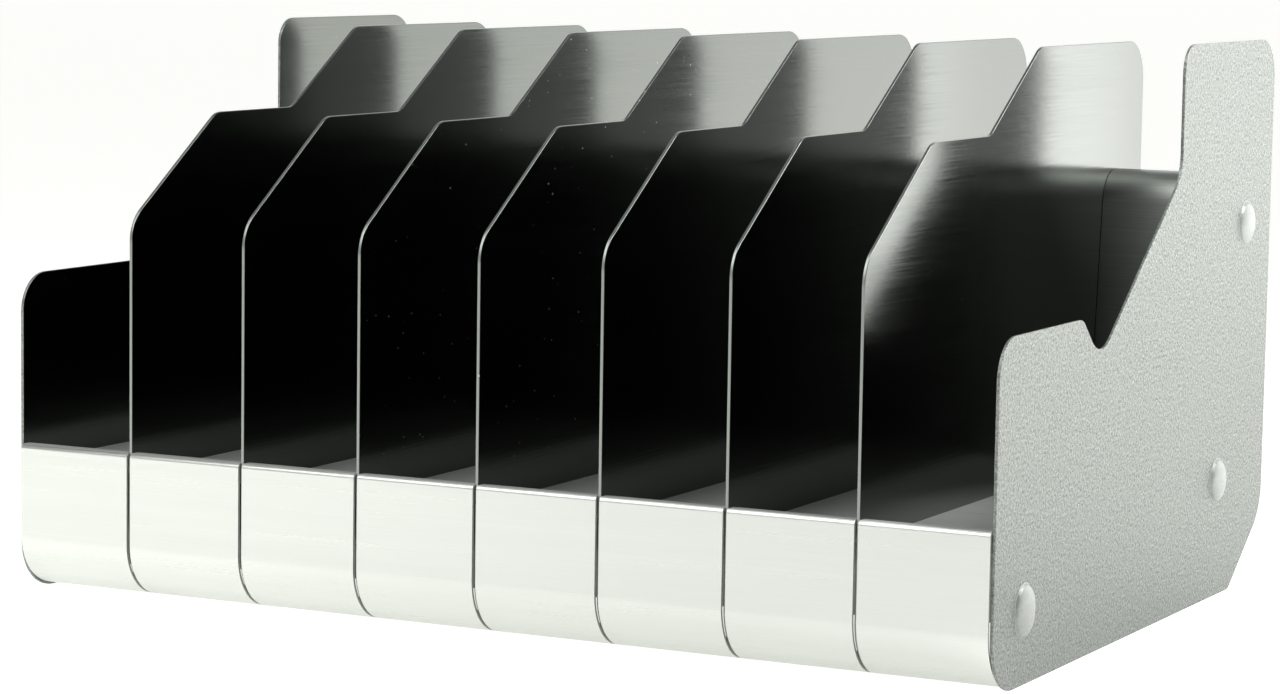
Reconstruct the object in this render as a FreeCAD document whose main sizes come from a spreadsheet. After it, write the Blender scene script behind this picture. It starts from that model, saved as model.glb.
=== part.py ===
"""Eight-bay desktop file sorter, folded and riveted from sheet metal.

Frame: +Z up, front of the sorter towards -Y, +X to the right of someone who faces it.
The origin is the bottom centre of the sorter's bounding box.
Outlines are drawn with their first axis running back from the front face and their
second axis up from the desk, and every body is then placed half a depth forwards.
"""
import FreeCAD, Part
import os
import Sketcher

doc = FreeCAD.newDocument("FileSorter")

# ---------------------------------------------------------------- driving dimensions, mm
SIZES = {
    # overall
    "width": 381.0,
    "depth": 279.4,
    "height": 206.4,
    "bays": 8,
    # sheet thicknesses and fits
    "panel_sheet": 1.2,
    "fold_sheet": 1.2,
    "fit_gap": 0.05,
    "fold_radius": 1.2,
    # fascia, lip and floor of a bay
    "fascia_lift": 1.0,
    "fascia_height": 54.5,
    "front_bend": 20.0,
    "base_flange": 45.0,
    "lip_depth": 6.4,
    "lip_bend": 1.7,
    "lip_drop": 7.0,
    "ear_length": 29.0,
    "ear_corner": 8.0,
    # back of a bay
    "back_setback": 64.9,
    "back_lean": 5.0,
    "back_drop": 49.4,
    "back_roll": 12.0,
    "back_roll_depth": 18.0,
    "ledge_length": 14.0,
    "wing_drop": 61.4,
    "wing_foot": 15.0,
    "wing_foot_setback": 40.4,
    "wing_top_setback": 17.4,
    "wing_corner": 8.0,
    # both kinds of panel
    "edge_recess": 1.6,
    "heel_length": 37.4,
    "heel_rise": 26.0,
    "heel_corner": 6.0,
    "heel_blend": 20.0,
    "back_corner": 15.0,
    # end panels
    "shoulder_height": 116.5,
    "shoulder_length": 77.0,
    "shoulder_corner": 14.0,
    "notch_run": 18.0,
    "notch_fall": 16.0,
    "notch_lip": 7.0,
    "notch_root": 15.0,
    "tab_front": 175.0,
    "tab_rise": 46.8,
    "tab_root": 15.0,
    "tab_corner": 10.0,
    # dividers
    "divider_lift": 1.8,
    "divider_drop": 1.6,
    "divider_setback": 14.4,
    "nose_drop": 68.5,
    "nose_radius": 14.0,
    "step_drop": 31.4,
    "step_start": 56.3,
    "step_end": 108.7,
    "crest_start": 155.3,
    "step_corner": 10.0,
    "step_root": 8.0,
    # rivets
    "rivet_hole": 4.9,
    "rivet_shank": 4.8,
    "rivet_head": 16.0,
    "rivet_crown": 2.6,
    "rivet_flare": 7.0,
    "rivet_tail": 3.0,
    "front_rivet_back": 28.5,
    "front_rivet_drop": 22.5,
    "middle_rivet_setback": 54.4,
    "middle_rivet_drop": 4.0,
    "upper_rivet_setback": 29.4,
    "upper_rivet_drop": 68.4,
}

sheet = doc.addObject("Spreadsheet::Sheet", "sizes")
for row, (alias, value) in enumerate(SIZES.items(), start=1):
    sheet.set(f"A{row}", alias)
    sheet.set(f"B{row}", str(value))
    sheet.setAlias(f"B{row}", alias)
doc.recompute()

# ------------------------------------------------- places worked out from the dimensions
PITCH = "((sizes.width - sizes.panel_sheet) / sizes.bays)"
BAY_WIDTH = f"({PITCH} - sizes.panel_sheet - 2 * sizes.fit_gap)"
FLOOR_TOP = "(sizes.fascia_height - sizes.lip_drop)"
FLOOR_UNDER = f"({FLOOR_TOP} - sizes.fold_sheet)"
LEDGE_TOP = f"({FLOOR_UNDER} - sizes.fit_gap)"
BACK_FOOT = "(sizes.depth - sizes.back_setback)"
BACK_TOP = "(sizes.height - sizes.back_drop)"
BACK_THICK = "(sizes.fold_sheet / cos(sizes.back_lean * 1 deg))"
LEAN = "tan(sizes.back_lean * 1 deg)"
FLANGE_PLACE = f"({BAY_WIDTH} - sizes.fold_sheet) / 2"
RIVETS = {
    "front": ("sizes.front_rivet_back", f"({FLOOR_TOP} - sizes.front_rivet_drop)"),
    "middle": ("(sizes.depth - sizes.middle_rivet_setback)", f"({FLOOR_TOP} - sizes.middle_rivet_drop)"),
    "upper": ("(sizes.depth - sizes.upper_rivet_setback)", "(sizes.height - sizes.upper_rivet_drop)"),
}


def number(expression):
    """The present value of an expression over the sizes sheet."""
    return float(sheet.evalExpression(expression))


def back_at(level):
    """How far behind the front face the back panel's front surface is, at a level."""
    return f"({BACK_FOOT} + ({level} - {LEDGE_TOP}) * {LEAN})"


# --------------------------------------------------------------------- sketch helpers
def new_body(name, across):
    """A body whose origin sits on the desk, below the front face, at X = across."""
    body = doc.addObject("PartDesign::Body", name)
    body.Label = name
    body.Placement = FreeCAD.Placement()
    body.setExpression("Placement.Base.x", across)
    body.setExpression("Placement.Base.y", "-sizes.depth / 2")
    return body


def new_sketch(body, name, plane, offset=None):
    """A sketch on one of the body's own origin planes, moved along its normal if asked."""
    sketch = body.newObject("Sketcher::SketchObject", name)
    role = next(item for item in body.Origin.OriginFeatures if item.Role == plane)
    sketch.AttachmentSupport = (role, [""])
    sketch.MapMode = "FlatFace"
    if offset:
        sketch.setExpression("AttachmentOffset.Base.z", offset)
    return sketch


def fix_point(sketch, geometry, point, place):
    """Tie a sketch point to two expressions, measured from the sketch's origin."""
    for kind, expression in zip(("DistanceX", "DistanceY"), place):
        index = sketch.addConstraint(Sketcher.Constraint(kind, geometry, point, number(expression)))
        sketch.setExpression(f"Constraints[{index}]", expression)


def polygon(sketch, corners):
    """A closed outline whose corners are pairs of expressions."""
    points = [FreeCAD.Vector(number(first), number(second), 0) for first, second in corners]
    count = len(points)
    for index in range(count):
        sketch.addGeometry(Part.LineSegment(points[index], points[(index + 1) % count]), False)
    for index, corner in enumerate(corners):
        sketch.addConstraint(Sketcher.Constraint("Coincident", index, 2, (index + 1) % count, 1))
        fix_point(sketch, index, 1, corner)


def circle(sketch, centre, diameter):
    """A circle whose centre and diameter are expressions."""
    middle = FreeCAD.Vector(number(centre[0]), number(centre[1]), 0)
    index = sketch.addGeometry(Part.Circle(middle, FreeCAD.Vector(0, 0, 1), number(diameter) / 2), False)
    fix_point(sketch, index, 3, centre)
    size = sketch.addConstraint(Sketcher.Constraint("Diameter", index, number(diameter)))
    sketch.setExpression(f"Constraints[{size}]", diameter)


def pad(body, name, sketch, length):
    """Thicken a sketch, half to each side of its plane."""
    feature = body.newObject("PartDesign::Pad", name)
    feature.Profile = sketch
    feature.setExpression("Length", length)
    feature.SideType = "Symmetric"
    doc.recompute()


def drill(body, levels, across, depth):
    """Rivet holes at the named levels, through whatever lies within the depth about X = across."""
    holes = new_sketch(body, f"{body.Name}_holes", "YZ_Plane", across)
    for level in levels:
        circle(holes, RIVETS[level], "sizes.rivet_hole")
    before = body.Shape.Volume
    pocket = body.newObject("PartDesign::Pocket", f"{body.Name}_drilling")
    pocket.Profile = holes
    pocket.setExpression("Length", depth)
    pocket.SideType = "Symmetric"
    doc.recompute()
    if pocket.Shape.Volume >= before:
        raise RuntimeError(f"{body.Label}: the drilling removed nothing")


def cross_edges(shape, corner):
    """Names of the straight edges along X that pass through an outline's corner."""
    first, second = number(corner[0]), number(corner[1])
    names = []
    for index, edge in enumerate(shape.Edges, start=1):
        ends = [vertex.Point for vertex in edge.Vertexes]
        if len(ends) != 2 or abs(ends[0].x - ends[1].x) < 1e-6:
            continue
        if all(abs(end.y - first) < 1e-4 and abs(end.z - second) < 1e-4 for end in ends):
            names.append(f"Edge{index}")
    return names


def dress_corners(body, feature, measure, size, places):
    """Add one fillet or chamfer to every edge along X at the given outline corners."""
    base = body.Tip
    names = [name for place in places for name in cross_edges(base.Shape, place)]
    if len(names) < len(places):
        raise RuntimeError(f"{body.Label}: a corner for the {feature} of {size} is missing")
    dressing = body.newObject(f"PartDesign::{feature}", f"{body.Name}_{feature.lower()}")
    dressing.Base = (base, names)
    dressing.setExpression(measure, size)
    doc.recompute()


def round_corners(body, corners):
    """Fillet outline corners, given as {radius expression: [corner, ...]}."""
    for radius, places in corners.items():
        dress_corners(body, "Fillet", "Radius", radius, places)


def mitre_corners(body, size, places):
    """Cut outline corners off at 45 degrees, as flange corners usually are."""
    dress_corners(body, "Chamfer", "Size", size, places)


# ------------------------------------------------------------------------- the panels
def end_panel(name, across):
    """Flat end plate: low front shoulder, finger notch, long slope and tall rear tab."""
    notch_lip = ("sizes.shoulder_length", "sizes.shoulder_height")
    notch_root = (f"({notch_lip[0]} + sizes.notch_run)", f"({notch_lip[1]} - sizes.notch_fall)")
    front = "sizes.edge_recess"
    toe = (front, "0")
    shoulder = (front, "sizes.shoulder_height")
    tab_root = ("sizes.tab_front", "(sizes.height - sizes.tab_rise)")
    tab_top = ("sizes.tab_front", "sizes.height")
    crown = ("sizes.depth", "sizes.height")
    heel_top = ("sizes.depth", "sizes.heel_rise")
    heel_foot = ("(sizes.depth - sizes.heel_length)", "0")
    body = new_body(name, across)
    outline = new_sketch(body, f"{name}_outline", "YZ_Plane")
    polygon(outline, [toe, shoulder, notch_lip, notch_root, tab_root, tab_top, crown, heel_top, heel_foot])
    pad(body, f"{name}_plate", outline, "sizes.panel_sheet")
    round_corners(body, {
        "(sizes.front_bend - sizes.edge_recess)": [toe],
        "sizes.shoulder_corner": [shoulder],
        "sizes.notch_lip": [notch_lip],
        "sizes.notch_root": [notch_root],
        "sizes.tab_root": [tab_root],
        "sizes.tab_corner": [tab_top],
        "sizes.back_corner": [crown],
        "sizes.heel_blend": [heel_top],
        "sizes.heel_corner": [heel_foot],
    })
    drill(body, RIVETS, "0", "4 * sizes.panel_sheet")
    return body


def divider(name, across):
    """Flat divider plate that steps up twice on its way to the rear tab."""
    front = "sizes.edge_recess"
    toe = (front, "sizes.divider_lift")
    nose = (front, "(sizes.height - sizes.nose_drop)")
    step_start = ("sizes.step_start", "(sizes.height - sizes.step_drop)")
    step_end = ("sizes.step_end", "(sizes.height - sizes.step_drop)")
    crest = ("sizes.crest_start", "(sizes.height - sizes.divider_drop)")
    back = "(sizes.depth - sizes.divider_setback)"
    crown = (back, "(sizes.height - sizes.divider_drop)")
    heel_top = (back, "(sizes.divider_lift + sizes.heel_rise)")
    heel_foot = (f"({back} - sizes.heel_length)", "sizes.divider_lift")
    body = new_body(name, across)
    outline = new_sketch(body, f"{name}_outline", "YZ_Plane")
    polygon(outline, [toe, nose, step_start, step_end, crest, crown, heel_top, heel_foot])
    pad(body, f"{name}_plate", outline, "sizes.panel_sheet")
    round_corners(body, {
        "(sizes.front_bend - sizes.edge_recess)": [toe],
        "sizes.nose_radius": [nose],
        "sizes.step_corner": [step_start, crest],
        "sizes.step_root": [step_end],
        "sizes.back_corner": [crown],
        "sizes.heel_blend": [heel_top],
        "sizes.heel_corner": [heel_foot],
    })
    return body


# ------------------------------------------------------------------- the folded sheets
def side_flanges(body, name, corners, mitre, mitred):
    """Turn a flange down or back at both sides of a folded sheet, with mitred outer corners."""
    for side, sign in (("left", "-"), ("right", "")):
        outline = new_sketch(body, f"{name}_{side}_outline", "YZ_Plane", f"{sign}{FLANGE_PLACE}")
        polygon(outline, corners)
        pad(body, f"{name}_{side}", outline, "sizes.fold_sheet")
    mitre_corners(body, mitre, mitred)


def bay_tray(name, across, riveted):
    """One folded sheet: base flange, fascia, hollow lip, floor and an ear at each side.

    riveted is the sign of the side whose ear is riveted to an end panel, or None.
    """
    thick = "sizes.fold_sheet"
    base = "sizes.fascia_lift"
    base_inside = f"({base} + {thick})"
    lip_top = "sizes.fascia_height"
    lip_inside = f"({lip_top} - {thick})"
    floor_front = "sizes.lip_depth"
    floor_front_under = f"({floor_front} - {thick})"
    floor_back = f"({BACK_FOOT} - 2 * sizes.fold_radius)"
    outer = [("sizes.base_flange", base), ("0", base), ("0", lip_top), (floor_front, lip_top),
             (floor_front, FLOOR_TOP), (floor_back, FLOOR_TOP)]
    inner = [(floor_back, FLOOR_UNDER), (floor_front_under, FLOOR_UNDER), (floor_front_under, lip_inside),
             (thick, lip_inside), (thick, base_inside), ("sizes.base_flange", base_inside)]
    body = new_body(name, across)
    outline = new_sketch(body, f"{name}_section", "YZ_Plane")
    polygon(outline, outer + inner)
    pad(body, f"{name}_sheet", outline, BAY_WIDTH)
    round_corners(body, {
        "sizes.front_bend": [outer[1]],
        f"(sizes.front_bend - {thick})": [inner[4]],
        "sizes.lip_bend": [outer[2], outer[3]],
        f"(sizes.lip_bend - {thick})": [inner[2], inner[3]],
        "sizes.fold_radius": [outer[4]],
        f"(sizes.fold_radius + {thick})": [inner[1]],
    })
    rivet_back, rivet_up = RIVETS["front"]
    ear_front = f"({rivet_back} - sizes.ear_length / 2)"
    ear_back = f"({rivet_back} + sizes.ear_length / 2)"
    ear_foot = f"({rivet_up} - sizes.ear_length / 2)"
    ear_top = f"({FLOOR_UNDER} + {thick} / 2)"
    ear = [(ear_front, ear_top), (ear_front, ear_foot), (ear_back, ear_foot), (ear_back, ear_top)]
    side_flanges(body, f"{name}_ear", ear, "sizes.ear_corner", ear[1:3])
    if riveted is not None:
        drill(body, ["front"], f"{riveted}{FLANGE_PLACE}", "2 * sizes.fold_sheet")
    return body


def bay_back(name, across, riveted):
    """One folded sheet: ledge under the floor, leaning back, rolled top edge, two wings.

    riveted is the sign of the side whose wing is riveted to an end panel, or None.
    """
    thick = "sizes.fold_sheet"
    ledge_under = f"({LEDGE_TOP} - {thick})"
    ledge_front = f"({BACK_FOOT} - sizes.ledge_length)"
    roll_under = f"({BACK_TOP} - {thick})"
    roll_end = f"({back_at(BACK_TOP)} + sizes.back_roll_depth)"
    face = [(ledge_front, LEDGE_TOP), (back_at(LEDGE_TOP), LEDGE_TOP), (back_at(BACK_TOP), BACK_TOP),
            (roll_end, BACK_TOP)]
    rear = [(roll_end, roll_under), (f"({back_at(roll_under)} + {BACK_THICK})", roll_under),
            (f"({back_at(ledge_under)} + {BACK_THICK})", ledge_under), (ledge_front, ledge_under)]
    body = new_body(name, across)
    outline = new_sketch(body, f"{name}_section", "YZ_Plane")
    polygon(outline, face + rear)
    pad(body, f"{name}_sheet", outline, BAY_WIDTH)
    round_corners(body, {
        "sizes.fold_radius": [face[1]],
        f"(sizes.fold_radius + {thick})": [rear[2]],
        "sizes.back_roll": [face[2]],
        f"(sizes.back_roll - {thick})": [rear[1]],
    })
    wing_top = "(sizes.height - sizes.wing_drop)"
    wing_foot = f"({LEDGE_TOP} - sizes.wing_foot)"
    wing_knee = f"({LEDGE_TOP} + {thick})"
    wing_front = f"({back_at(LEDGE_TOP)} + {thick} / 2)"
    wing = [(f"({back_at(wing_knee)} + {thick} / 2)", wing_knee), (wing_front, wing_foot),
            ("(sizes.depth - sizes.wing_foot_setback)", wing_foot),
            ("(sizes.depth - sizes.wing_top_setback)", wing_top),
            (f"({back_at(wing_top)} + {thick} / 2)", wing_top)]
    side_flanges(body, f"{name}_wing", wing, "sizes.wing_corner", wing[2:4])
    if riveted is not None:
        drill(body, ["middle", "upper"], f"{riveted}{FLANGE_PLACE}", "2 * sizes.fold_sheet")
    return body


# ------------------------------------------------------------------------- the rivets
def rivet_section(section):
    """Half section of a rivet along the sketch's first axis: dome outside, flared tail inside."""
    head = "(sizes.rivet_head / 2)"
    shank = "(sizes.rivet_shank / 2)"
    flare = "(sizes.rivet_flare / 2)"
    grip_end = "(-sizes.panel_sheet - sizes.fit_gap - sizes.fold_sheet)"
    tail_end = f"({grip_end} - sizes.rivet_tail)"
    corners = [("sizes.rivet_crown", "0"), (tail_end, "0"), (tail_end, flare), (grip_end, shank),
               ("0", shank), ("0", head)]
    points = [FreeCAD.Vector(number(first), number(second), 0) for first, second in corners]
    for index, (start, end) in enumerate(zip(points, points[1:])):
        section.addGeometry(Part.LineSegment(start, end), False)
        fix_point(section, index, 1, corners[index])
        if index:
            section.addConstraint(Sketcher.Constraint("Coincident", index - 1, 2, index, 1))
    crown, rim = points[0], points[-1]
    radius = (rim.y ** 2 + crown.x ** 2) / (2 * crown.x)
    centre = FreeCAD.Vector(crown.x - radius, 0, 0)
    dome_circle = Part.Circle(centre, FreeCAD.Vector(0, 0, 1), radius)
    dome = section.addGeometry(Part.ArcOfCircle(dome_circle, 0, (rim - centre).getAngle(crown)), False)
    fix_point(section, dome - 1, 2, corners[-1])
    section.addConstraint(Sketcher.Constraint("Coincident", dome - 1, 2, dome, 2))
    section.addConstraint(Sketcher.Constraint("Coincident", dome, 1, 0, 1))
    section.addConstraint(Sketcher.Constraint("PointOnObject", dome, 3, -1))


def end_rivets(name, across, turned):
    """The three rivets of one end: domed heads outside, flared tails inside the end bay."""
    turn = FreeCAD.Rotation(180 if turned else 0, 0, 0)
    body = new_body(name, across)
    body.AllowCompound = True
    for level, place in RIVETS.items():
        section = new_sketch(body, f"{name}_{level}_section", "XY_Plane")
        section.AttachmentOffset = FreeCAD.Placement(FreeCAD.Vector(), turn)
        section.setExpression("AttachmentOffset.Base.y", place[0])
        section.setExpression("AttachmentOffset.Base.z", place[1])
        rivet_section(section)
        turning = body.newObject("PartDesign::Revolution", f"{name}_{level}")
        turning.Profile = section
        turning.ReferenceAxis = (section, ["H_Axis"])
        turning.Angle = 360
        doc.recompute()
    return body


# ------------------------------------------------------------------------ the assembly
bays = int(SIZES["bays"])
nodes = [
    end_panel("left_end_panel", f"-sizes.bays * {PITCH} / 2"),
    end_panel("right_end_panel", f"sizes.bays * {PITCH} / 2"),
    end_rivets("left_end_rivets", "-sizes.width / 2", turned=True),
    end_rivets("right_end_rivets", "sizes.width / 2", turned=False),
]
for count in range(1, bays):
    nodes.append(divider(f"divider_{count}", f"({count} - sizes.bays / 2) * {PITCH}"))
for count in range(1, bays + 1):
    middle = f"({count} - 0.5 - sizes.bays / 2) * {PITCH}"
    riveted = {1: "-", bays: ""}.get(count)
    nodes.append(bay_tray(f"bay_tray_{count}", middle, riveted))
    nodes.append(bay_back(f"bay_back_{count}", middle, riveted))
doc.recompute()

for item in doc.Objects:
    if "Invalid" in item.State or "Error" in item.State:
        raise RuntimeError(f"{item.Label} did not compute: {item.State}")
for node in nodes:
    if node.Shape.isNull() or not node.Shape.isValid() or not node.Shape.Solids:
        raise RuntimeError(f"{node.Label} has no valid shape")

os.makedirs("parts", exist_ok=True)
for node in nodes:
    node.Shape.exportStep(f"parts/{node.Label}.step")
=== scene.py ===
import math

import bmesh
import bpy
from mathutils import Matrix, Vector


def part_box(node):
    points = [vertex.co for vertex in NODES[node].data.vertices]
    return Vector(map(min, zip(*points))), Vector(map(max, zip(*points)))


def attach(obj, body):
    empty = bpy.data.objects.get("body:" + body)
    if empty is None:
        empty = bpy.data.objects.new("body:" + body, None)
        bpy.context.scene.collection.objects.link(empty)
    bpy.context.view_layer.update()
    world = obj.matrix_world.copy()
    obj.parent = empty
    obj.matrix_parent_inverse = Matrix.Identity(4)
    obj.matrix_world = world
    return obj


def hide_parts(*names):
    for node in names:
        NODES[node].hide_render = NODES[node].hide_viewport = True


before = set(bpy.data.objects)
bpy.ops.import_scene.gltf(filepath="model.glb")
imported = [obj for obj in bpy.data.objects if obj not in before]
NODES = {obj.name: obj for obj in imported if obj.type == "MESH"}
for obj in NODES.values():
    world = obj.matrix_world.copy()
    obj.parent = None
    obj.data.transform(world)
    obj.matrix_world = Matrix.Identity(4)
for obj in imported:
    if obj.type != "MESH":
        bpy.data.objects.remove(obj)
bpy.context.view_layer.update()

MM = 0.001

TRAYS = [name for name in NODES if name.startswith("bay_tray_")]
BACKS = [name for name in NODES if name.startswith("bay_back_")]
DIVIDERS = [name for name in NODES if name.startswith("divider_")]
END_PANELS = ["left_end_panel", "right_end_panel"]
END_RIVETS = {"left_end_rivets": -1, "right_end_rivets": 1}


# ------------------------------------------------------------------ node tree helpers
def feed(tree, value, socket):
    """Link an output into this input socket, or set a plain value on it."""
    if isinstance(value, bpy.types.NodeSocket):
        tree.links.new(value, socket)
    else:
        socket.default_value = value


def add_node(tree, kind, inputs=None, **settings):
    """A node of the given kind, with its settings and its inputs, linked or plain."""
    node = tree.nodes.new(kind)
    for name, value in settings.items():
        setattr(node, name, value)
    for name, value in (inputs or {}).items():
        feed(tree, value, node.inputs[name])
    return node


def new_group(name, inputs, outputs):
    """An empty shader node group; inputs are {name: (socket type, default)}."""
    group = bpy.data.node_groups.new(name, "ShaderNodeTree")
    for label, (kind, default) in inputs.items():
        socket = group.interface.new_socket(label, in_out="INPUT", socket_type=kind)
        socket.default_value = default
    for label, kind in outputs.items():
        group.interface.new_socket(label, in_out="OUTPUT", socket_type=kind)
    return group, group.nodes.new("NodeGroupInput"), group.nodes.new("NodeGroupOutput")


def place_group(tree, group, **values):
    """Put a group into a material and set its inputs; underscores stand for spaces."""
    node = tree.nodes.new("ShaderNodeGroup")
    node.node_tree = group
    for name, value in values.items():
        node.inputs[name.replace("_", " ")].default_value = value
    return node


def maths(tree, operation, first, second=0.0, clamp=False):
    """A Math node's result, from sockets or plain numbers."""
    node = add_node(tree, "ShaderNodeMath", {0: first, 1: second}, operation=operation, use_clamp=clamp)
    return node.outputs[0]


def product(tree, result, *factors):
    """Sockets or plain numbers multiplied together, from left to right."""
    for factor in factors:
        result = maths(tree, "MULTIPLY", result, factor)
    return result


def remap(tree, value, low, high, to_low=0.0, to_high=1.0, smooth=False):
    """Map a value from one range to another, held at both ends."""
    kind = "SMOOTHSTEP" if smooth else "LINEAR"
    node = add_node(tree, "ShaderNodeMapRange", {"Value": value, "From Min": low, "From Max": high,
                                                 "To Min": to_low, "To Max": to_high},
                    interpolation_type=kind, clamp=True)
    return node.outputs["Result"]


MIX_SOCKETS = {"RGBA": (6, 7, 2), "FLOAT": (2, 3, 0)}


def blend(tree, kind, factor, first, second):
    """A Mix node of one kind; MIX_SOCKETS has its two inputs and its result for that kind."""
    low, high, result = MIX_SOCKETS[kind]
    node = add_node(tree, "ShaderNodeMix", {"Factor": factor, low: first, high: second}, data_type=kind)
    return node.outputs[result]


def blend_colours(tree, factor, first, second):
    """Mix two colours, each a socket or a plain colour, by a factor socket."""
    pair = [side if isinstance(side, bpy.types.NodeSocket) else (*side, 1.0) for side in (first, second)]
    return blend(tree, "RGBA", factor, *pair)


def blend_values(tree, factor, first, second):
    """Mix two values, each a socket or a plain number, by a factor socket."""
    return blend(tree, "FLOAT", factor, first, second)


def object_place(tree):
    """Where a surface point lies, in its object's own frame."""
    return add_node(tree, "ShaderNodeTexCoord").outputs["Object"]


def split(tree, vector):
    """The X, Y and Z sockets of a vector taken apart."""
    return add_node(tree, "ShaderNodeSeparateXYZ", {"Vector": vector}).outputs


# --------------------------------------------------------------------- shared effects
def brush_strokes_group():
    """Brushing: long fine strokes, and the broader bands the belt leaves under them."""
    trough, crest = 0.3, 0.7
    group, given, result = new_group(
        "Brush Strokes",
        {"Strokes per Metre": ("NodeSocketVector", (30.0, 3000.0, 3000.0)),
         "Bands per Metre": ("NodeSocketVector", (6.0, 260.0, 260.0))},
        {"Stroke": "NodeSocketFloat", "Band": "NodeSocketFloat"})
    place = object_place(group)
    for label, source, detail in (("Stroke", "Strokes per Metre", 3.0), ("Band", "Bands per Metre", 2.0)):
        scaled = add_node(group, "ShaderNodeVectorMath",
                          {0: place, 1: given.outputs[source]}, operation="MULTIPLY")
        noise = add_node(group, "ShaderNodeTexNoise",
                         {"Vector": scaled.outputs[0], "Scale": 1.0, "Detail": detail, "Roughness": 0.6})
        group.links.new(remap(group, noise.outputs["Fac"], trough, crest), result.inputs[label])
    return group


def coat_grain_group():
    """Silver coat: a leathery grain with pale flakes on it and a slow drift of tone."""
    drift_per_metre = 14.0
    hollow, crest = 0.33, 0.67
    flake_core, flake_rim = 0.12, 0.34
    drift_low, drift_high = 0.35, 0.65
    group, given, result = new_group(
        "Coat Grain",
        {"Grain per Metre": ("NodeSocketFloat", 900.0), "Flakes per Metre": ("NodeSocketFloat", 1500.0)},
        {"Grain": "NodeSocketFloat", "Flake": "NodeSocketFloat", "Drift": "NodeSocketFloat"})
    place = object_place(group)
    grain = add_node(group, "ShaderNodeTexNoise",
                     {"Vector": place, "Scale": given.outputs["Grain per Metre"],
                      "Detail": 3.0, "Roughness": 0.65})
    flake = add_node(group, "ShaderNodeTexVoronoi",
                     {"Vector": place, "Scale": given.outputs["Flakes per Metre"]})
    drift = add_node(group, "ShaderNodeTexNoise",
                     {"Vector": place, "Scale": drift_per_metre, "Detail": 2.0})
    masks = {"Grain": remap(group, grain.outputs["Fac"], hollow, crest),
             "Flake": remap(group, flake.outputs["Distance"], flake_core, flake_rim, 1.0, 0.0),
             "Drift": remap(group, drift.outputs["Fac"], drift_low, drift_high)}
    for label, mask in masks.items():
        group.links.new(mask, result.inputs[label])
    return group


def speck_mask_group():
    """Sparse pale specks: a mask that is 1 on the few cells that hold one."""
    speck_core, speck_rim = 0.04, 0.12
    group, given, result = new_group(
        "Speck Mask",
        {"Cells per Metre": ("NodeSocketFloat", 320.0), "Share": ("NodeSocketFloat", 0.12)},
        {"Speck": "NodeSocketFloat"})
    cells = add_node(group, "ShaderNodeTexVoronoi",
                     {"Vector": object_place(group), "Scale": given.outputs["Cells per Metre"]})
    near = remap(group, cells.outputs["Distance"], speck_core, speck_rim, 1.0, 0.0)
    chance = add_node(group, "ShaderNodeSeparateColor", {"Color": cells.outputs["Color"]})
    chosen = maths(group, "LESS_THAN", chance.outputs["Red"], given.outputs["Share"])
    group.links.new(product(group, near, chosen), result.inputs["Speck"])
    return group


def sheet_sides_group():
    """Which way a flat plate's surface looks: 1 on its cut edge, 1 on the side turned inwards."""
    edge_on, face_on = 0.3, 0.8
    fully_inward, partly_inward = -0.8, -0.5
    group, _, result = new_group("Sheet Sides", {},
                                 {"Cut Edge": "NodeSocketFloat", "Inner Side": "NodeSocketFloat"})
    geometry = add_node(group, "ShaderNodeNewGeometry")
    facing = split(group, geometry.outputs["Normal"])["X"]
    place = split(group, geometry.outputs["Position"])["X"]
    across = maths(group, "ABSOLUTE", facing)
    group.links.new(remap(group, across, edge_on, face_on, 1.0, 0.0), result.inputs["Cut Edge"])
    outward = product(group, facing, maths(group, "SIGN", place))
    inward = remap(group, outward, fully_inward, partly_inward, 1.0, 0.0)
    group.links.new(inward, result.inputs["Inner Side"])
    return group


def edge_wear_group():
    """Where handling rubs: a mask along outer edges, broken up by noise."""
    turned, flat = 0.8, 0.995
    least_wear = 0.25
    group, given, result = new_group(
        "Edge Wear",
        {"Reach": ("NodeSocketFloat", 0.6 * MM), "Breaks per Metre": ("NodeSocketFloat", 420.0)},
        {"Wear": "NodeSocketFloat"})
    rounded = add_node(group, "ShaderNodeBevel", {"Radius": given.outputs["Reach"]}, samples=4)
    geometry = add_node(group, "ShaderNodeNewGeometry")
    turn = add_node(group, "ShaderNodeVectorMath",
                    {0: rounded.outputs["Normal"], 1: geometry.outputs["Normal"]}, operation="DOT_PRODUCT")
    breaks = add_node(group, "ShaderNodeTexNoise",
                      {"Vector": object_place(group), "Scale": given.outputs["Breaks per Metre"],
                       "Detail": 2.0})
    near_edge = remap(group, turn.outputs["Value"], turned, flat, 1.0, 0.0)
    broken = remap(group, breaks.outputs["Fac"], 0.4, 0.6, least_wear, 1.0)
    group.links.new(product(group, near_edge, broken), result.inputs["Wear"])
    return group


BRUSH_STROKES = brush_strokes_group()
COAT_GRAIN = coat_grain_group()
SPECK_MASK = speck_mask_group()
SHEET_SIDES = sheet_sides_group()
EDGE_WEAR = edge_wear_group()


# -------------------------------------------------------------------------- materials
def new_material(name):
    """An empty node material with its Principled BSDF wired to the output."""
    material = bpy.data.materials.new(name)
    material.use_nodes = True
    tree = material.node_tree
    tree.nodes.clear()
    shader = add_node(tree, "ShaderNodeBsdfPrincipled")
    output = add_node(tree, "ShaderNodeOutputMaterial")
    tree.links.new(shader.outputs["BSDF"], output.inputs["Surface"])
    return material, tree, shader


def bump(tree, shader, height, distance):
    """Wire a height in through a Bump node; distance is the relief's full depth."""
    node = add_node(tree, "ShaderNodeBump", {"Height": height, "Distance": distance, "Strength": 1.0})
    tree.links.new(node.outputs["Normal"], shader.inputs["Normal"])


# Painted shade: the near-mirror sheet's colour is set dark, so the dividers' faces read black as they do in
# the shade between them.
SHADE_DARKENED_SHEET = (0.125, 0.135, 0.125)
CUT_EDGE = (0.30, 0.32, 0.30)
# Tone and roughness of the sparse pale specks.
SPECK_TONE = (0.85, 0.86, 0.84)
BRIGHT_ROUGHNESS = 0.10
CUT_ROUGHNESS = 0.42
SPECK_ROUGHNESS = 0.9
BRIGHT_RELIEF = 0.004 * MM


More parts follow.
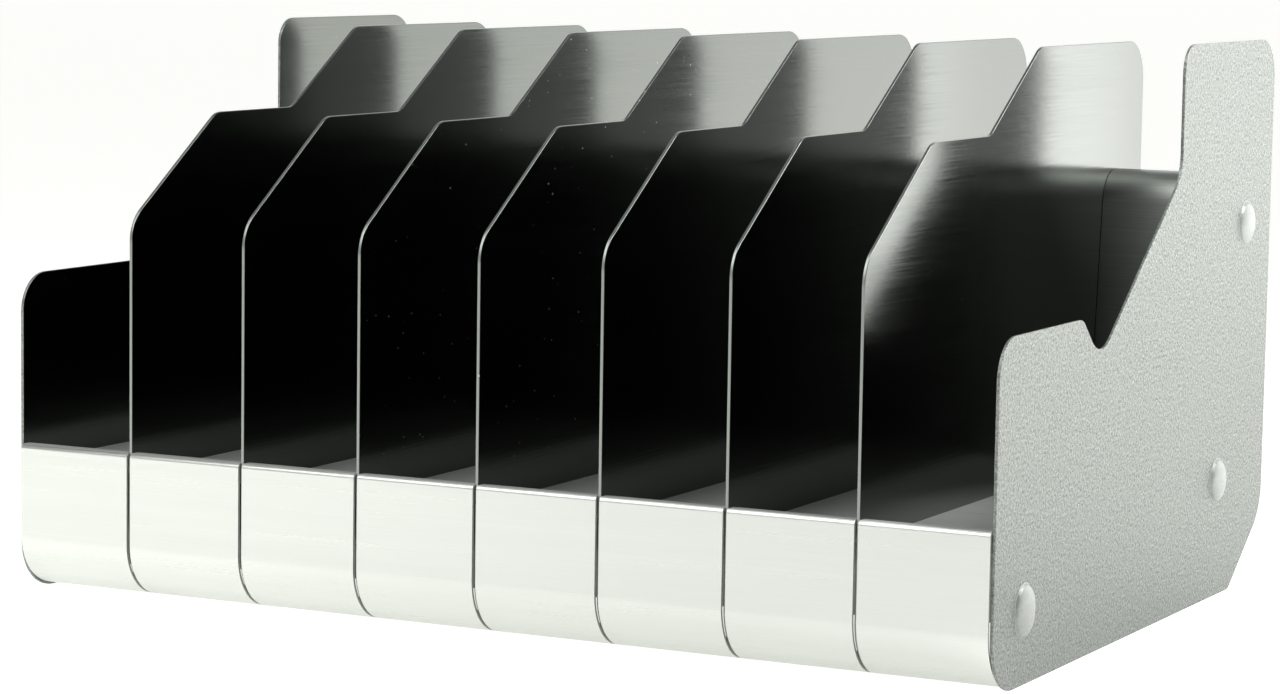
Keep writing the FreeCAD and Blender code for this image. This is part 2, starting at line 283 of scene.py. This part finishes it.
def brushed_roughness(tree, stroke, band, stroke_share, band_share, smoothest):
    """Roughness of brushed sheet: its smoothest, plus a share of each stroke and band."""
    rise = maths(tree, "ADD", product(tree, stroke, stroke_share), product(tree, band, band_share))
    return maths(tree, "ADD", rise, smoothest)


def shade_darkened_sheet_looks(tree):
    """Colour, roughness, metallic and strokes of the near-mirror sheet, whose colour is set dark as painted
    shade, and which side of it shows.
    """
    brushing = place_group(tree, BRUSH_STROKES, Strokes_per_Metre=(2600.0, 24.0, 2600.0),
                           Bands_per_Metre=(90.0, 5.0, 90.0))
    speck_node = place_group(tree, SPECK_MASK, Cells_per_Metre=300.0, Share=0.12)
    sides = place_group(tree, SHEET_SIDES)
    stroke, band = brushing.outputs["Stroke"], brushing.outputs["Band"]
    cut_edge, speck = sides.outputs["Cut Edge"], speck_node.outputs["Speck"]
    face_roughness = brushed_roughness(tree, stroke, band, stroke_share=0.06, band_share=0.03,
                                       smoothest=BRIGHT_ROUGHNESS)
    # Painted shade: the faces take the dark-set colour, and the cut edge keeps a lighter tone.
    colour = blend_colours(tree, cut_edge, SHADE_DARKENED_SHEET, CUT_EDGE)
    roughness = blend_values(tree, cut_edge, face_roughness, CUT_ROUGHNESS)
    colour = blend_colours(tree, speck, colour, SPECK_TONE)
    roughness = blend_values(tree, speck, roughness, SPECK_ROUGHNESS)
    metallic = maths(tree, "SUBTRACT", 1.0, speck, clamp=True)
    return colour, roughness, metallic, stroke, sides


def divider_material():
    """Sheet of the dividers, almost a mirror, with its colour set dark as painted shade so that the faces
    read black.
    """
    material, tree, shader = new_material("divider_sheet")
    colour, roughness, metallic, stroke, _ = shade_darkened_sheet_looks(tree)
    tree.links.new(colour, shader.inputs["Base Color"])
    tree.links.new(roughness, shader.inputs["Roughness"])
    tree.links.new(metallic, shader.inputs["Metallic"])
    bump(tree, shader, stroke, BRIGHT_RELIEF)
    return material


COAT_HOLLOW = (0.095, 0.108, 0.095)
COAT_CREST = (0.30, 0.327, 0.30)
COAT_FLAKE = (0.46, 0.485, 0.455)
COAT_DRIFT = (0.25, 0.27, 0.25)
COAT_RUBBED = (0.55, 0.57, 0.54)
HOLLOW_ROUGHNESS = 0.52
CREST_ROUGHNESS = 0.38
DRIFT_SHARE = 0.12
COAT_RUB_SHARE = 0.5
FLAKE_HEIGHT = 0.25
COAT_METALLIC = 0.55
COAT_RELIEF = 0.05 * MM


def coat_looks(tree):
    """Colour, roughness and relief height of the speckled silver coat."""
    coat = place_group(tree, COAT_GRAIN, Grain_per_Metre=950.0, Flakes_per_Metre=1500.0)
    wear = place_group(tree, EDGE_WEAR, Reach=0.7 * MM, Breaks_per_Metre=420.0)
    grain, flake = coat.outputs["Grain"], coat.outputs["Flake"]
    tone = blend_colours(tree, grain, COAT_HOLLOW, COAT_CREST)
    tone = blend_colours(tree, flake, tone, COAT_FLAKE)
    tone = blend_colours(tree, product(tree, coat.outputs["Drift"], DRIFT_SHARE), tone, COAT_DRIFT)
    tone = blend_colours(tree, product(tree, wear.outputs["Wear"], COAT_RUB_SHARE), tone, COAT_RUBBED)
    roughness = remap(tree, grain, 0.0, 1.0, HOLLOW_ROUGHNESS, CREST_ROUGHNESS)
    height = maths(tree, "ADD", grain, product(tree, flake, FLAKE_HEIGHT))
    return tone, roughness, height


def end_panel_material():
    """Silver coat outside and on the cut edge; on the inner side, painted shade: the dividers' dark-set
    sheet.
    """
    inner_relief_share = 0.05
    material, tree, shader = new_material("end_panel_coat")
    tone, coat_roughness, coat_height = coat_looks(tree)
    colour, roughness, metallic, stroke, sides = shade_darkened_sheet_looks(tree)
    inner = sides.outputs["Inner Side"]
    # Painted shade: the inner side takes the dark-set sheet, standing in for the shade inside the end bay.
    tree.links.new(blend_colours(tree, inner, tone, colour), shader.inputs["Base Color"])
    tree.links.new(blend_values(tree, inner, coat_roughness, roughness), shader.inputs["Roughness"])
    tree.links.new(blend_values(tree, inner, COAT_METALLIC, metallic), shader.inputs["Metallic"])
    height = blend_values(tree, inner, coat_height, product(tree, stroke, inner_relief_share))
    bump(tree, shader, height, COAT_RELIEF)
    return material


# Painted highlight: the paler tone on the top of each rivet dome stands in for the light falling on it.
CROWN_HIGHLIGHT_HOLLOW = (0.36, 0.38, 0.36)
CROWN_HIGHLIGHT_CREST = (0.40, 0.42, 0.40)
CROWN_METALLIC = 0.35
CROWN_POLISH = 0.05
CROWN_RELIEF = 0.02 * MM


def coated_rivet_material():
    """The same coat over a rivet head: speckled round its rim, smoother on the top of its dome, where a
    paler tone is a painted highlight.
    """
    material, tree, shader = new_material("coated_rivet")
    tone, roughness, height = coat_looks(tree)
    rim = place_group(tree, SHEET_SIDES).outputs["Cut Edge"]
    # Painted highlight: a paler tone where the dome faces outwards.
    crown_highlight = blend_colours(tree, height, CROWN_HIGHLIGHT_HOLLOW, CROWN_HIGHLIGHT_CREST)
    tree.links.new(blend_colours(tree, rim, crown_highlight, tone), shader.inputs["Base Color"])
    tree.links.new(maths(tree, "SUBTRACT", roughness, CROWN_POLISH), shader.inputs["Roughness"])
    shader.inputs["Metallic"].default_value = CROWN_METALLIC
    bump(tree, shader, height, CROWN_RELIEF)
    return material


TRAY_SHEET = {"dull": (0.62, 0.64, 0.605), "bright": (0.65, 0.67, 0.635),
              "smoothest": 0.26, "metallic": 0.78, "upward_metallic": 0.2}
# Painted shade: the backs are a darker copy of the tray sheet, standing in for the shade deep inside the
# bays.
SHADE_DARKENED_BACK_SHEET = {"dull": (0.30, 0.32, 0.30), "bright": (0.38, 0.40, 0.37),
              "smoothest": 0.36, "metallic": 1.0, "upward_metallic": 0.8}
RUBBED_GAIN = 1.15
SHEET_RUB_SHARE = 0.6
BAND_SHARE = 0.3
SLOPING, LEVEL = 0.8, 0.98
BRUSHED_RELIEF = 0.001 * MM


def brushed_material(name, dull, bright, smoothest, metallic, upward_metallic):
    """Sheet brushed from side to side, with belt bands, rubbed edges and a duller upward face."""
    material, tree, shader = new_material(name)
    brushing = place_group(tree, BRUSH_STROKES, Strokes_per_Metre=(12.0, 2400.0, 2400.0),
                           Bands_per_Metre=(9.0, 300.0, 300.0))
    wear = place_group(tree, EDGE_WEAR, Reach=0.5 * MM, Breaks_per_Metre=300.0)
    stroke, band = brushing.outputs["Stroke"], brushing.outputs["Band"]
    between = [(low + high) / 2 for low, high in zip(dull, bright)]
    rubbed = [min(1.0, RUBBED_GAIN * part) for part in bright]
    colour = blend_colours(tree, stroke, dull, bright)
    colour = blend_colours(tree, product(tree, band, BAND_SHARE), colour, between)
    colour = blend_colours(tree, product(tree, wear.outputs["Wear"], SHEET_RUB_SHARE), colour, rubbed)
    tree.links.new(colour, shader.inputs["Base Color"])
    roughness = brushed_roughness(tree, stroke, band, stroke_share=0.05, band_share=0.03,
                                  smoothest=smoothest)
    tree.links.new(roughness, shader.inputs["Roughness"])
    facing = split(tree, add_node(tree, "ShaderNodeNewGeometry").outputs["Normal"])
    upward = remap(tree, facing["Z"], SLOPING, LEVEL, smooth=True)
    tree.links.new(blend_values(tree, upward, metallic, upward_metallic), shader.inputs["Metallic"])
    shader.inputs["Anisotropic"].default_value = 0.8
    shader.inputs["Anisotropic Rotation"].default_value = 0.25
    along_strokes = add_node(tree, "ShaderNodeCombineXYZ", {"X": 1.0}).outputs[0]
    tree.links.new(along_strokes, shader.inputs["Tangent"])
    bump(tree, shader, stroke, BRUSHED_RELIEF)
    return material


FACET_GAP = 0.002 * MM
FLAT_ANGLE = math.radians(0.5)
EDGE_ANGLE = math.radians(50)
FACE_AREA_WEIGHT = 100


def dress(names, material, edge_radius):
    """Give CAD nodes a material and softly broken edges."""
    for name in names:
        piece = NODES[name]
        piece.data.materials.clear()
        piece.data.materials.append(material)
        weld = piece.modifiers.new("join_facets", "WELD")
        weld.merge_threshold = FACET_GAP
        flats = piece.modifiers.new("clear_flats", "DECIMATE")
        flats.decimate_type = "DISSOLVE"
        flats.angle_limit = FLAT_ANGLE
        edges = piece.modifiers.new("break_edges", "BEVEL")
        edges.width = edge_radius
        edges.segments = 2
        edges.limit_method = "ANGLE"
        edges.angle_limit = EDGE_ANGLE
        edges.use_clamp_overlap = False
        piece.modifiers.new("even_shading", "WEIGHTED_NORMAL").weight = FACE_AREA_WEIGHT


# ----------------------------------------------------------------------------- rivets
RIVET_HEAD = 8.0 * MM
RIVET_CROWN = 2.6 * MM
NEAR_CROWN = 0.9 * RIVET_CROWN
LEVEL_STEP = 10 * MM
COAT_FILLET = 0.5 * MM
QUARTER_TURN = math.pi / 2
DOME_STEPS = 14
DOME_FULLNESS = 1.15
FILLET_STEPS = 4
TURN_STEPS = 48


def lathe(name, profile, places, side):
    """Turn a profile of (out, radius) points about X at each place, as one mesh object."""
    mesh = bpy.data.meshes.new(name)
    shape = bmesh.new()
    turns = [math.tau * step / TURN_STEPS for step in range(TURN_STEPS)]
    for place in places:
        rings = []
        for out, radius in profile:
            ring_turns = turns if radius else turns[:1]
            ring = [Vector((side * out, radius * math.cos(turn), radius * math.sin(turn)))
                    for turn in ring_turns]
            rings.append([shape.verts.new(place + point) for point in ring])
        for inner, outer in zip(rings, rings[1:]):
            for step in range(TURN_STEPS):
                after = (step + 1) % TURN_STEPS
                corners = [inner[step % len(inner)], inner[after % len(inner)],
                           outer[after % len(outer)], outer[step % len(outer)]]
                shape.faces.new(list(dict.fromkeys(corners)))
    bmesh.ops.recalc_face_normals(shape, faces=shape.faces)
    shape.to_mesh(mesh)
    shape.free()
    mesh.shade_smooth()
    piece = bpy.data.objects.new(name, mesh)
    bpy.context.collection.objects.link(piece)
    return piece


def rivet_places(name, side):
    """Centres of a node's rivet heads, where they sit on the outside of the end panel."""
    panel_low, panel_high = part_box("right_end_panel" if side > 0 else "left_end_panel")
    outside = panel_high[0] if side > 0 else panel_low[0]
    heads = {}
    for vertex in NODES[name].data.vertices:
        if side * (vertex.co.x - outside) > NEAR_CROWN:
            heads.setdefault(round(vertex.co.z / LEVEL_STEP), []).append(vertex.co)
    return [Vector((outside, sum(p.y for p in head) / len(head), sum(p.z for p in head) / len(head)))
            for head in heads.values()]


def rivet_profile():
    """From the top of the dome to where the coat's fillet meets the panel, as (out, radius)."""
    profile = []
    for step in range(DOME_STEPS):
        turn = QUARTER_TURN * step / DOME_STEPS
        profile.append((RIVET_CROWN * math.cos(turn) ** DOME_FULLNESS, RIVET_HEAD * math.sin(turn)))
    for step in range(FILLET_STEPS + 1):
        turn = QUARTER_TURN / FILLET_STEPS * step
        profile.append((COAT_FILLET * (1 - math.sin(turn)), RIVET_HEAD + COAT_FILLET * (1 - math.cos(turn))))
    return profile


def add_rivets(name, side, material):
    """Domed heads whose coat runs out onto the panel in a small fillet."""
    piece = lathe(f"{name}_coated", rivet_profile(), rivet_places(name, side), side)
    piece.data.materials.append(material)
    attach(piece, "root")
    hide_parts(name)


# ----------------------------------------------------------------- studio and camera
CAMERA_TURN = math.radians(26.80)
CAMERA_TILT = math.radians(6.37)
CAMERA_ROLL = math.radians(0.89)
CAMERA_LENS = 107.2
CAMERA_SENSOR = 36.0
CAMERA_DISTANCE = 1.4274
AIM_LEFT = 0.0079
AIM_HEIGHT = 0.0887


def add_camera():
    """A long lens to the right of the front, a little above the sorter."""
    aim = Vector((-AIM_LEFT, 0, AIM_HEIGHT))
    forward = Vector((-math.sin(CAMERA_TURN) * math.cos(CAMERA_TILT),
                      math.cos(CAMERA_TURN) * math.cos(CAMERA_TILT), -math.sin(CAMERA_TILT)))
    right = Vector((math.cos(CAMERA_TURN), math.sin(CAMERA_TURN), 0))
    up = right.cross(forward)
    turned = Matrix((right, up, -forward)).transposed() @ Matrix.Rotation(CAMERA_ROLL, 3, "Z")
    data = bpy.data.cameras.new("camera")
    data.lens = CAMERA_LENS
    data.sensor_width = CAMERA_SENSOR
    camera = bpy.data.objects.new("camera", data)
    camera.matrix_world = Matrix.Translation(aim - forward * CAMERA_DISTANCE) @ turned.to_4x4()
    bpy.context.collection.objects.link(camera)
    bpy.context.scene.camera = camera


MIRRORED_GAIN = 1.75


def mirrored_gain(tree, path):
    """Lift the floor and the room where glossy sheet mirrors them."""
    return remap(tree, path["Is Glossy Ray"], 0.0, 1.0, 1.0, MIRRORED_GAIN)


FLOOR_HALF = 30.0
FLOOR_DARK = (0.50, 0.50, 0.495)
FLOOR_PALE = (0.54, 0.54, 0.535)
GLOW_COLOUR = (1.0, 1.0, 0.97)
GLOW_STRENGTH = 4.2
GLOW_SHARE = 0.5
GLOW_SEEN_DIRECTLY = 0.2
STRIP_GLOW = 0.225


def floor_glow(tree, place, path):
    """Share of the glow at each place: one over the whole floor, stronger to the right and halved
    beside and before the sorter, and a strip just before its front, stronger to the left."""
    across, depth = place["X"], place["Y"]
    rightward = remap(tree, across, 0.2, 0.6, 0.4, 0.66, smooth=True)
    halved = remap(tree, depth, 0.25, 0.0, 1.0, 0.5, smooth=True)
    whole_floor = product(tree, rightward, halved, mirrored_gain(tree, path))
    strip = remap(tree, depth, -0.06, -0.23, 0.0, STRIP_GLOW, smooth=True)
    leftward = remap(tree, across, -0.4, 0.15, 2.3, 0.6, smooth=True)
    strip_end = remap(tree, depth, -0.8, -1.0, 1.0, 0.02, smooth=True)
    front_strip = product(tree, strip, leftward, strip_end)
    return product(tree, maths(tree, "ADD", whole_floor, front_strip), GLOW_SHARE)


def add_floor():
    """A wide pale floor, lit through from below like a light table."""
    material, tree, shader = new_material("studio_floor")
    place = object_place(tree)
    mottle = add_node(tree, "ShaderNodeTexNoise", {"Vector": place, "Scale": 3.0, "Detail": 2.0})
    tone = blend_colours(tree, mottle.outputs["Fac"], FLOOR_DARK, FLOOR_PALE)
    tree.links.new(tone, shader.inputs["Base Color"])
    shader.inputs["Roughness"].default_value = 0.8
    path = add_node(tree, "ShaderNodeLightPath").outputs
    glow = floor_glow(tree, split(tree, place), path)
    glow = blend_values(tree, path["Is Camera Ray"], glow, GLOW_SEEN_DIRECTLY)
    glow_colour = blend_colours(tree, glow, (0.0, 0.0, 0.0), GLOW_COLOUR)
    tree.links.new(glow_colour, shader.inputs["Emission Color"])
    shader.inputs["Emission Strength"].default_value = GLOW_STRENGTH
    mesh = bpy.data.meshes.new("studio_floor")
    half = FLOOR_HALF
    corners = [(-half, -half, 0), (half, -half, 0), (half, half, 0), (-half, half, 0)]
    mesh.from_pydata(corners, [], [(0, 1, 2, 3)])
    mesh.materials.append(material)
    floor = bpy.data.objects.new("studio_floor", mesh)
    bpy.context.collection.objects.link(floor)


def add_softbox(name, place, aim, size, power):
    """A square soft light at a place, turned towards an aim."""
    data = bpy.data.lights.new(name, "AREA")
    data.shape = "SQUARE"
    data.size = size
    data.energy = power
    light = bpy.data.objects.new(name, data)
    light.location = place
    light.rotation_euler = (Vector(aim) - Vector(place)).to_track_quat("-Z", "Y").to_euler()
    light.visible_camera = False
    bpy.context.collection.objects.link(light)


WHITE = (1.0, 1.0, 1.0, 1.0)
DARK_ROOM = 0.01


def add_world():
    """A room that is white low down behind the sorter and almost dark elsewhere; the camera
    itself looks onto plain white."""
    world = bpy.data.worlds.new("studio")
    bpy.context.scene.world = world
    world.use_nodes = True
    tree = world.node_tree
    tree.nodes.clear()
    way = split(tree, add_node(tree, "ShaderNodeTexCoord").outputs["Generated"])
    path = add_node(tree, "ShaderNodeLightPath").outputs
    behind = remap(tree, way["Y"], 0.0, 0.5, smooth=True)
    low_down = remap(tree, way["Z"], 0.35, 0.75, 1.0, 0.0, smooth=True)
    glow = product(tree, behind, low_down, mirrored_gain(tree, path))
    glow = maths(tree, "ADD", glow, DARK_ROOM)
    room = add_node(tree, "ShaderNodeBackground", {"Color": WHITE, "Strength": glow})
    backdrop = add_node(tree, "ShaderNodeBackground", {"Color": WHITE, "Strength": 1.0})
    mix = add_node(tree, "ShaderNodeMixShader",
                   {0: path["Is Camera Ray"], 1: room.outputs[0], 2: backdrop.outputs[0]})
    output = add_node(tree, "ShaderNodeOutputWorld")
    tree.links.new(mix.outputs[0], output.inputs["Surface"])


# --------------------------------------------------------------------------- assembly
PANEL_EDGE = 0.25 * MM
FOLDED_EDGE = 0.15 * MM

dress(END_PANELS, end_panel_material(), PANEL_EDGE)
dress(DIVIDERS, divider_material(), PANEL_EDGE)
dress(TRAYS, brushed_material("brushed_tray", **TRAY_SHEET), FOLDED_EDGE)
# The backs take the darker copy of the sheet as painted shade.
dress(BACKS, brushed_material("shade_darkened_back", **SHADE_DARKENED_BACK_SHEET), FOLDED_EDGE)

RIVET_COAT = coated_rivet_material()
for name, side in END_RIVETS.items():
    add_rivets(name, side, RIVET_COAT)

add_floor()
add_world()
add_softbox("overhead_softbox", place=(0.5, 0.1, 0.6), aim=(0.1, 0, 0.15), size=0.4, power=4.8)
add_softbox("front_softbox", place=(-0.25, -0.75, 1.0), aim=(0, 0, 0.05), size=1.0, power=12)
add_softbox("rear_card", place=(0.48, 0.55, 0.25), aim=(0.48, 0, 0.25), size=0.35, power=0.45)
add_camera()
bpy.context.scene.view_settings.view_transform = "Standard"
